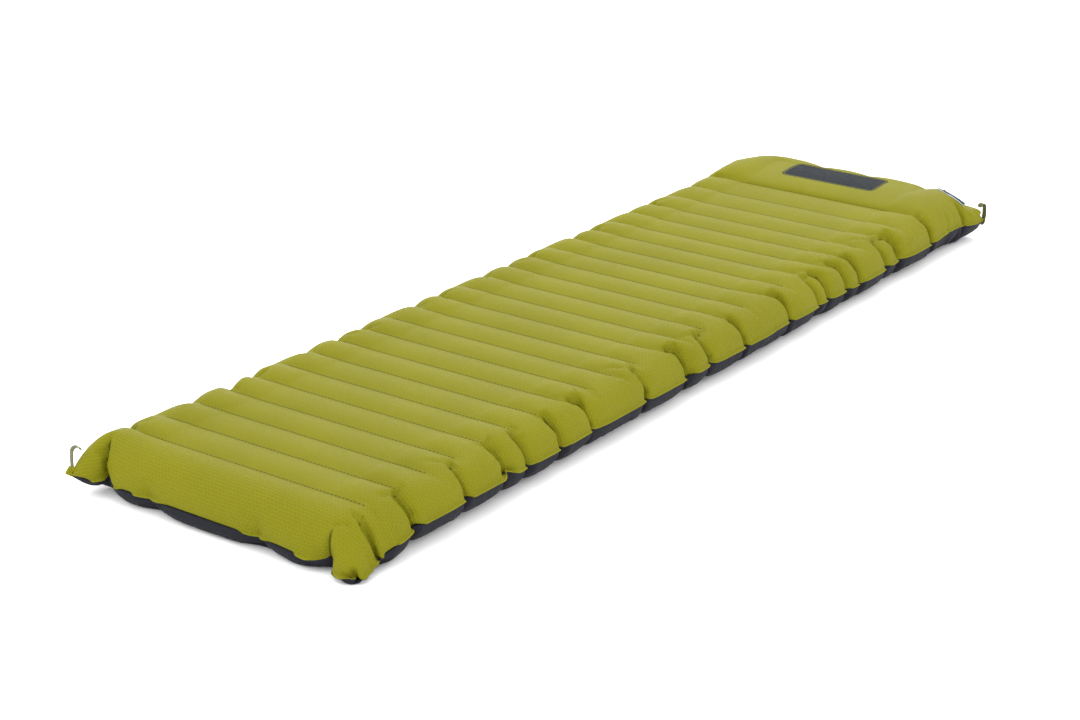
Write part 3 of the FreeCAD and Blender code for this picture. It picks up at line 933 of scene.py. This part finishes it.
class SLEEPINGPAD_OT_fabric(Operator):
    """Blow up the pad's top and bottom fabric"""
    bl_idname = "sleeping_pad.fabric"
    bl_label = "Blow up the fabric"

    def execute(self, context):
        settings = context.scene.sleeping_pad
        sheets = start_shape(settings.cell_rise)
        # Painted shade along the creases, one value for each point of each sheet.
        painted_crease_shade = np.zeros(sheets.shape[:3])
        sheets, painted_crease_shade = blow_up(sheets, settings)
        painted_crease_shade = np.pad(painted_crease_shade, ((0, 0), (1, 1), (1, 1)), mode="edge")
        points, ring = with_lip(sheets, settings.seam_lip)
        rim = np.pad(np.zeros((ROWS - 2, len(COLUMNS) - 2), bool), 2, constant_values=True)
        half_gap = 0.0004
        points[0, rim, 2] += half_gap
        points[1, rim, 2] -= half_gap
        flat_y, weld_y = flat_length(settings.cell_rise)
        flat = np.stack(np.meshgrid(COLUMNS, flat_y), axis=-1)
        flat = np.pad(flat, ((1, 1), (1, 1), (0, 0)), mode="edge")
        flat[:, 0, 0] -= settings.seam_lip
        flat[:, -1, 0] += settings.seam_lip
        flat[0, :, 1] -= settings.seam_lip
        flat[-1, :, 1] += settings.seam_lip
        gaps = np.abs(flat[..., 1, None] - weld_y).min(axis=-1)
        gaps = np.hypot(gaps, np.clip(np.abs(flat[..., 0]) - RIB_END, 0, None))
        looks = (("top_fabric", "top_sheet", True, settings.top_colour, settings.print_colour),
                 ("bottom_fabric", "bottom_sheet", False, settings.low_colour, None))
        for layer, (name, node, top, colour, ink) in enumerate(looks):
            sheet = cut_sheet(name, points[layer], flat, (gaps, ring, painted_crease_shade[layer]), top, settings)
            sheet.data.materials.clear()
            sheet.data.materials.append(coated_ripstop(name + "_ripstop", colour, ink))
            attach(sheet, "pad")
            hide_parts(node)
        return {"FINISHED"}


class SLEEPINGPAD_OT_ribs(Operator):
    """Give the ribs inside the pad their white film"""
    bl_idname = "sleeping_pad.ribs"
    bl_label = "Finish the ribs"

    def execute(self, context):
        names = [name for name in frame["nodes"] if name.startswith("rib_")]
        give_finish(names, rib_film("rib_film", context.scene.sleeping_pad.rib_colour))
        return {"FINISHED"}


class SLEEPINGPAD_OT_loops(Operator):
    """Sew a webbing loop to the head's right and the foot's left corner"""
    bl_idname = "sleeping_pad.loops"
    bl_label = "Sew the corner loops"

    def execute(self, context):
        settings = context.scene.sleeping_pad
        webbing = woven_webbing("webbing_weave", settings.webbing_colour, settings.webbing_edge)
        for node, side, irregular in (("head_corner_loop", 1, 1.0), ("foot_corner_loop", -1, 0.5)):
            self.loop(node, side, irregular, webbing)
        return {"FINISHED"}

    def loop(self, node, side, irregular, webbing):
        low, high = (Vector(corner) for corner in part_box(node))
        turn = Matrix.Rotation(math.radians(LOOP_TURN), 3, "Z")
        out = turn @ Vector((side, side, 0)).normalized()
        wide = Vector((-out.y, out.x, 0))
        middle = (low + high) / 2
        corner = Vector((middle.x, middle.y, SEAM_Z))
        line = strap_line(irregular)
        start_piece()
        bpy.ops.mesh.primitive_plane_add(size=1.0)
        strap = bpy.context.object
        strap.name = strap.data.name = node + "_strap"
        bpy.ops.object.mode_set(mode="EDIT")
        mesh = bmesh.from_edit_mesh(strap.data)
        mesh.verts.ensure_lookup_table()
        bmesh.ops.delete(mesh, geom=mesh.verts[2:], context="VERTS")
        mesh.verts.ensure_lookup_table()
        start = corner + out * line[0][0] + Vector((0, 0, line[0][1]))
        for vertex, reach in zip(mesh.verts, (-STRAP_HALF_WIDTH, STRAP_HALF_WIDTH)):
            vertex.co = start + wide * reach
            vertex.select_set(True)
        mesh.select_flush(True)
        bmesh.update_edit_mesh(strap.data)
        for before, after in zip(line[:-1], line[1:]):
            move = out * (after[0] - before[0]) + Vector((0, 0, after[1] - before[1]))
            bpy.ops.mesh.extrude_region_move(TRANSFORM_OT_translate={"value": tuple(move)})
        bpy.ops.object.mode_set(mode="OBJECT")
        self.unroll(strap, corner, out, wide, line)
        modify(strap, "SOLIDIFY", thickness=STRAP_THICKNESS, offset=0.0)
        modify(strap, "BEVEL", width=0.00035, segments=2, limit_method="ANGLE",
               angle_limit=math.radians(50))
        only(strap)
        bpy.ops.object.shade_smooth_by_angle(angle=math.radians(50))
        strap.data.materials.clear()
        strap.data.materials.append(webbing)
        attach(strap, "pad")
        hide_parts(node)

    @staticmethod
    def unroll(strap, corner, out, wide, line):
        """Give the strap a flat map in metres, along and across it."""
        places = np.array([tuple(corner + out * reach + Vector((0, 0, height)))
                           for reach, height in line])
        run = np.concatenate([[0], np.cumsum(np.linalg.norm(np.diff(places, axis=0), axis=1))])
        strap_map = strap.data.uv_layers.new(name="strap")
        for loop in strap.data.loops:
            point = np.array(strap.data.vertices[loop.vertex_index].co)
            across = float((point - np.array(corner)) @ np.array(wide))
            level = point - across * np.array(wide)
            nearest = int(np.argmin(np.linalg.norm(places - level, axis=1)))
            strap_map.data[loop.index].uv = (across, run[nearest])


# Node, material, colour setting, pitch of the turned rings, grain, roughness and subsurface.
VALVE_FINISHES = (
    ("valve_base", "valve_flange_film", "flange_colour", 0.0021, 0.4, 0.38, 0.15),
    ("deflate_cap", "deflate_cap_plastic", "cap_colour", 0.0034, 0.5, 0.42, 0.0),
    ("inflate_cap", "inflate_cap_plastic", "lid_colour", 0.0016, 0.5, 0.36, 0.1),
    ("check_disc", "check_disc_silicone", "disc_colour", 0.0030, 0.3, 0.5, 0.3))


class SLEEPINGPAD_OT_valve(Operator):
    """Give the valve's flange, caps and disc their moulded finishes"""
    bl_idname = "sleeping_pad.valve"
    bl_label = "Finish the valve"

    def execute(self, context):
        settings = context.scene.sleeping_pad
        for node, material, colour, rings, grain, roughness, subsurface in VALVE_FINISHES:
            finish = moulded_plastic(material, getattr(settings, colour), rings, grain, roughness,
                                     Subsurface_Weight=subsurface)
            give_finish([node], finish)
        return {"FINISHED"}


class SLEEPINGPAD_OT_stage(Operator):
    """Lay the floor, hang the lights and place the camera"""
    bl_idname = "sleeping_pad.stage"
    bl_label = "Set the stage"

    def execute(self, context):
        settings = context.scene.sleeping_pad_stage
        scene = context.scene
        start_piece()
        bpy.ops.mesh.primitive_plane_add(size=settings.floor_size)
        floor = bpy.context.object
        floor.name = "floor"
        finish = Finish("pale_floor", roughness=0.9, specular=0.1)
        place = finish.place()
        tone = finish.mix(finish.noise(place, 3.0), (0.93, 0.93, 0.93, 1), (0.95, 0.95, 0.95, 1))
        floor.data.materials.append(finish.show(Base_Color=tone))
        world = bpy.data.worlds.new("studio")
        world.use_nodes = True
        sky = world.node_tree.nodes["Background"].inputs
        sky["Color"].default_value = (1, 1, 1, 1)
        sky["Strength"].default_value = settings.sky
        scene.world = world
        scene.view_settings.view_transform = "Standard"
        self.lamp("main_light", (-1.6, 2.5, 3.2), 3.0, settings.key_power)
        self.lamp("fill_light", (-1.2, -3.2, 2.4), 2.5, settings.fill_power)
        start_piece()
        bpy.ops.object.camera_add()
        camera = bpy.context.object
        camera.name = "view_camera"
        camera.data.sensor_width = 36.0
        camera.data.lens = settings.lens * 1000
        camera.data.clip_end = 60.0
        turn, tilt, roll = (Matrix.Rotation(math.radians(angle), 4, axis)
                            for angle, axis in ((CAMERA_TURN, "Z"), (90 - CAMERA_DIP, "X"),
                                                (CAMERA_ROLL, "Z")))
        camera.matrix_world = Matrix.Translation(CAMERA_PLACE) @ turn @ tilt @ roll
        scene.camera = camera
        return {"FINISHED"}

    @staticmethod
    def lamp(name, place, size, power):
        """A square lamp that faces the pad."""
        start_piece()
        bpy.ops.object.light_add(type="AREA", location=place)
        lamp = bpy.context.object
        lamp.name = name
        lamp.data.size = size
        lamp.data.energy = power
        aim = Vector((0, 0, 0.05)) - Vector(place)
        lamp.rotation_euler = aim.to_track_quat("-Z", "Y").to_euler()


class SLEEPINGPAD_PT_panel(Panel):
    """The sleeping pad's sizes, colours and steps"""
    bl_idname = "SLEEPINGPAD_PT_panel"
    bl_label = "Sleeping Pad"
    bl_space_type = "VIEW_3D"
    bl_region_type = "UI"
    bl_category = "Sleeping Pad"

    def draw(self, context):
        for step in STEPS:
            self.layout.operator(step.bl_idname)
        for group in (context.scene.sleeping_pad, context.scene.sleeping_pad_stage):
            box = self.layout.box()
            for key in group.__annotations__:
                box.prop(group, key)


STEPS = (SLEEPINGPAD_OT_stage, SLEEPINGPAD_OT_fabric, SLEEPINGPAD_OT_ribs, SLEEPINGPAD_OT_loops,
         SLEEPINGPAD_OT_valve)
CLASSES = (SleepingPadSettings, StageSettings) + STEPS + (SLEEPINGPAD_PT_panel,)


def register():
    for kind in CLASSES:
        bpy.utils.register_class(kind)
    bpy.types.Scene.sleeping_pad = PointerProperty(type=SleepingPadSettings)
    bpy.types.Scene.sleeping_pad_stage = PointerProperty(type=StageSettings)


def unregister():
    del bpy.types.Scene.sleeping_pad_stage
    del bpy.types.Scene.sleeping_pad
    for kind in reversed(CLASSES):
        bpy.utils.unregister_class(kind)


def main():
    """Make the whole pad and its stage."""
    register()
    bpy.ops.sleeping_pad.stage()
    bpy.ops.sleeping_pad.fabric()
    bpy.ops.sleeping_pad.ribs()
    bpy.ops.sleeping_pad.loops()
    bpy.ops.sleeping_pad.valve()


if __name__ == "__main__":
    main()
